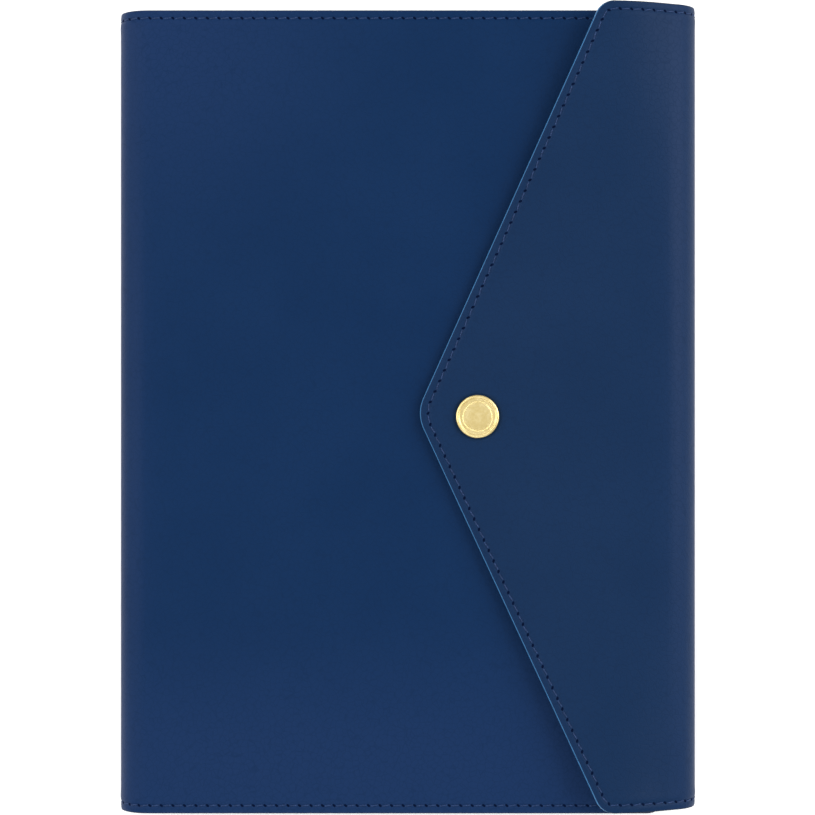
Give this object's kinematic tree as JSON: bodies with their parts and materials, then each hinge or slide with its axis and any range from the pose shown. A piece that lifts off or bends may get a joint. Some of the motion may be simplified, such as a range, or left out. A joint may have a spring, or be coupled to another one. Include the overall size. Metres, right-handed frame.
{
  "type": "tablet keyboard case",
  "caption": "Closed book-type leather case for a tablet, with an envelope flap and round snap outside and a low-profile keyboard, tablet slot and tablet pocket inside.",
  "frame": {"origin": "middle of the underside of the closed case", "axes": "+X from the spine to the flap's fold, +Y along the spine, +Z out of the front cover"},
  "size_m": [0.1866, 0.2598, 0.0272],
  "materials": {
    "outer_leather_cover": "smooth navy leather, fine grain, satin",
    "outer_leather_flap": "smooth dark navy leather, fine grain, satin",
    "lining": "dark grey microfibre lining",
    "board": "grey-brown fibre board",
    "case_plastic": "fine matt moulded plastic",
    "key_plastic": "matt key caps with printed marks",
    "steel": "plain sheet steel",
    "gold": "polished pale gold plating",
    "rubber": "matt black rubber",
    "film": "clear printed film",
    "silicone": "milky silicone",
    "board_green": "green solder mask",
    "battery_foil": "silver foil pouch",
    "lens": "clear light guide",
    "foam": "adhesive foam"
  },
  "bodies": {
    "base": {"back_leather": "outer_leather_cover", "back_board": "board", "back_lining": "lining", "keyboard_fixing_pads": "foam", "keyboard_bottom_case": "case_plastic", "keyboard_top_frame": "case_plastic", "key_support_plate": "steel", "membrane_sheet": "film", "dome_sheet": "silicone", "battery_pack": "battery_foil", "circuit_board": "board_green", "control_board": "board_green", "charge_socket": "steel", "indicator_lens": "lens", "case_screws": "steel", "slot_liner": "rubber", "slot_magnets": "steel", "deck_bumpers": "rubber"},
    "spine": {"spine_leather": "outer_leather_cover", "spine_stay": "board", "spine_lining": "lining"},
    "cover": {"front_leather": "outer_leather_cover", "front_board": "board", "front_lining": "lining", "tablet_rim": "lining", "tablet_bezel": "lining", "snap_stud": "gold", "snap_rivet": "gold"},
    "gusset": {"gusset_leather": "outer_leather_flap", "gusset_stay": "board", "gusset_lining": "lining"},
    "flap": {"flap_leather": "outer_leather_flap", "flap_stay": "board", "flap_lining": "lining", "snap_cap": "gold", "snap_socket": "gold", "snap_spring": "steel"},
    "function_row_keys": {"function_row_keys": "key_plastic"},
    "number_row_keys": {"number_row_keys": "key_plastic"},
    "backspace_key": {"backspace_key": "key_plastic"},
    "tab_key": {"tab_key": "key_plastic"},
    "upper_row_keys": {"upper_row_keys": "key_plastic"},
    "caps_lock_key": {"caps_lock_key": "key_plastic"},
    "home_row_keys": {"home_row_keys": "key_plastic"},
    "enter_key": {"enter_key": "key_plastic"},
    "left_shift_key": {"left_shift_key": "key_plastic"},
    "lower_row_keys": {"lower_row_keys": "key_plastic"},
    "right_shift_key": {"right_shift_key": "key_plastic"},
    "left_modifier_keys": {"left_modifier_keys": "key_plastic"},
    "space_bar": {"space_bar": "key_plastic"},
    "right_modifier_keys": {"right_modifier_keys": "key_plastic"},
    "left_arrow_key": {"left_arrow_key": "key_plastic"},
    "up_arrow_key": {"up_arrow_key": "key_plastic"},
    "down_arrow_key": {"down_arrow_key": "key_plastic"},
    "right_arrow_key": {"right_arrow_key": "key_plastic"},
    "power_switch": {"power_switch": "key_plastic"},
    "pair_button": {"pair_button": "key_plastic"}
  },
  "joints": [
    {"name": "cover_open", "type": "hinge", "parent": "base", "child": "spine", "pos_m": [-0.09115, 0, 0.00215], "axis": [0, -1, 0], "range_deg": [0, 89]},
    {"name": "cover_fold", "type": "hinge", "parent": "spine", "child": "cover", "pos_m": [-0.09115, 0, 0.02085], "axis": [0, -1, 0], "range_deg": [0, 89]},
    {"name": "flap_open", "type": "hinge", "parent": "base", "child": "gusset", "pos_m": [0.09115, 0, 0.00215], "axis": [0, 1, 0], "range_deg": [0, 85]},
    {"name": "flap_fold", "type": "hinge", "parent": "gusset", "child": "flap", "pos_m": [0.09096, 0, 0.02346], "axis": [0, 1, 0], "range_deg": [0, 85]},
    {"name": "function_row_press", "type": "slide", "parent": "base", "child": "function_row_keys", "axis": [0, 0, -1], "range_m": [0, 0.0013], "stiffness_N_per_m": 420, "springref_m": -0.0006},
    {"name": "number_row_press", "type": "slide", "parent": "base", "child": "number_row_keys", "axis": [0, 0, -1], "range_m": [0, 0.0013], "stiffness_N_per_m": 420, "springref_m": -0.0006},
    {"name": "backspace_press", "type": "slide", "parent": "base", "child": "backspace_key", "axis": [0, 0, -1], "range_m": [0, 0.0013], "stiffness_N_per_m": 420, "springref_m": -0.0006},
    {"name": "tab_press", "type": "slide", "parent": "base", "child": "tab_key", "axis": [0, 0, -1], "range_m": [0, 0.0013], "stiffness_N_per_m": 420, "springref_m": -0.0006},
    {"name": "upper_row_press", "type": "slide", "parent": "base", "child": "upper_row_keys", "axis": [0, 0, -1], "range_m": [0, 0.0013], "stiffness_N_per_m": 420, "springref_m": -0.0006},
    {"name": "caps_lock_press", "type": "slide", "parent": "base", "child": "caps_lock_key", "axis": [0, 0, -1], "range_m": [0, 0.0013], "stiffness_N_per_m": 420, "springref_m": -0.0006},
    {"name": "home_row_press", "type": "slide", "parent": "base", "child": "home_row_keys", "axis": [0, 0, -1], "range_m": [0, 0.0013], "stiffness_N_per_m": 420, "springref_m": -0.0006, "deforming": ["dome_sheet"]},
    {"name": "enter_press", "type": "slide", "parent": "base", "child": "enter_key", "axis": [0, 0, -1], "range_m": [0, 0.0013], "stiffness_N_per_m": 420, "springref_m": -0.0006},
    {"name": "left_shift_press", "type": "slide", "parent": "base", "child": "left_shift_key", "axis": [0, 0, -1], "range_m": [0, 0.0013], "stiffness_N_per_m": 420, "springref_m": -0.0006},
    {"name": "lower_row_press", "type": "slide", "parent": "base", "child": "lower_row_keys", "axis": [0, 0, -1], "range_m": [0, 0.0013], "stiffness_N_per_m": 420, "springref_m": -0.0006},
    {"name": "right_shift_press", "type": "slide", "parent": "base", "child": "right_shift_key", "axis": [0, 0, -1], "range_m": [0, 0.0013], "stiffness_N_per_m": 420, "springref_m": -0.0006},
    {"name": "left_modifier_press", "type": "slide", "parent": "base", "child": "left_modifier_keys", "axis": [0, 0, -1], "range_m": [0, 0.0013], "stiffness_N_per_m": 420, "springref_m": -0.0006},
    {"name": "space_bar_press", "type": "slide", "parent": "base", "child": "space_bar", "axis": [0, 0, -1], "range_m": [0, 0.0013], "stiffness_N_per_m": 420, "springref_m": -0.0006},
    {"name": "right_modifier_press", "type": "slide", "parent": "base", "child": "right_modifier_keys", "axis": [0, 0, -1], "range_m": [0, 0.0013], "stiffness_N_per_m": 420, "springref_m": -0.0006},
    {"name": "left_arrow_press", "type": "slide", "parent": "base", "child": "left_arrow_key", "axis": [0, 0, -1], "range_m": [0, 0.0013], "stiffness_N_per_m": 420, "springref_m": -0.0006},
    {"name": "up_arrow_press", "type": "slide", "parent": "base", "child": "up_arrow_key", "axis": [0, 0, -1], "range_m": [0, 0.0013], "stiffness_N_per_m": 420, "springref_m": -0.0006},
    {"name": "down_arrow_press", "type": "slide", "parent": "base", "child": "down_arrow_key", "axis": [0, 0, -1], "range_m": [0, 0.0013], "stiffness_N_per_m": 420, "springref_m": -0.0006},
    {"name": "right_arrow_press", "type": "slide", "parent": "base", "child": "right_arrow_key", "axis": [0, 0, -1], "range_m": [0, 0.0013], "stiffness_N_per_m": 420, "springref_m": -0.0006},
    {"name": "pair_button_press", "type": "slide", "parent": "base", "child": "pair_button", "axis": [0, 0, -1], "range_m": [0, 0.0005], "stiffness_N_per_m": 600, "springref_m": -0.0006},
    {"name": "power_slide", "type": "slide", "parent": "base", "child": "power_switch", "axis": [0, 1, 0], "range_m": [0, 0.003]}
  ],
  "couplings": [
    {"joint": "cover_fold", "follows": "cover_open", "ratio": 1},
    {"joint": "flap_fold", "follows": "flap_open", "ratio": 1}
  ]
}
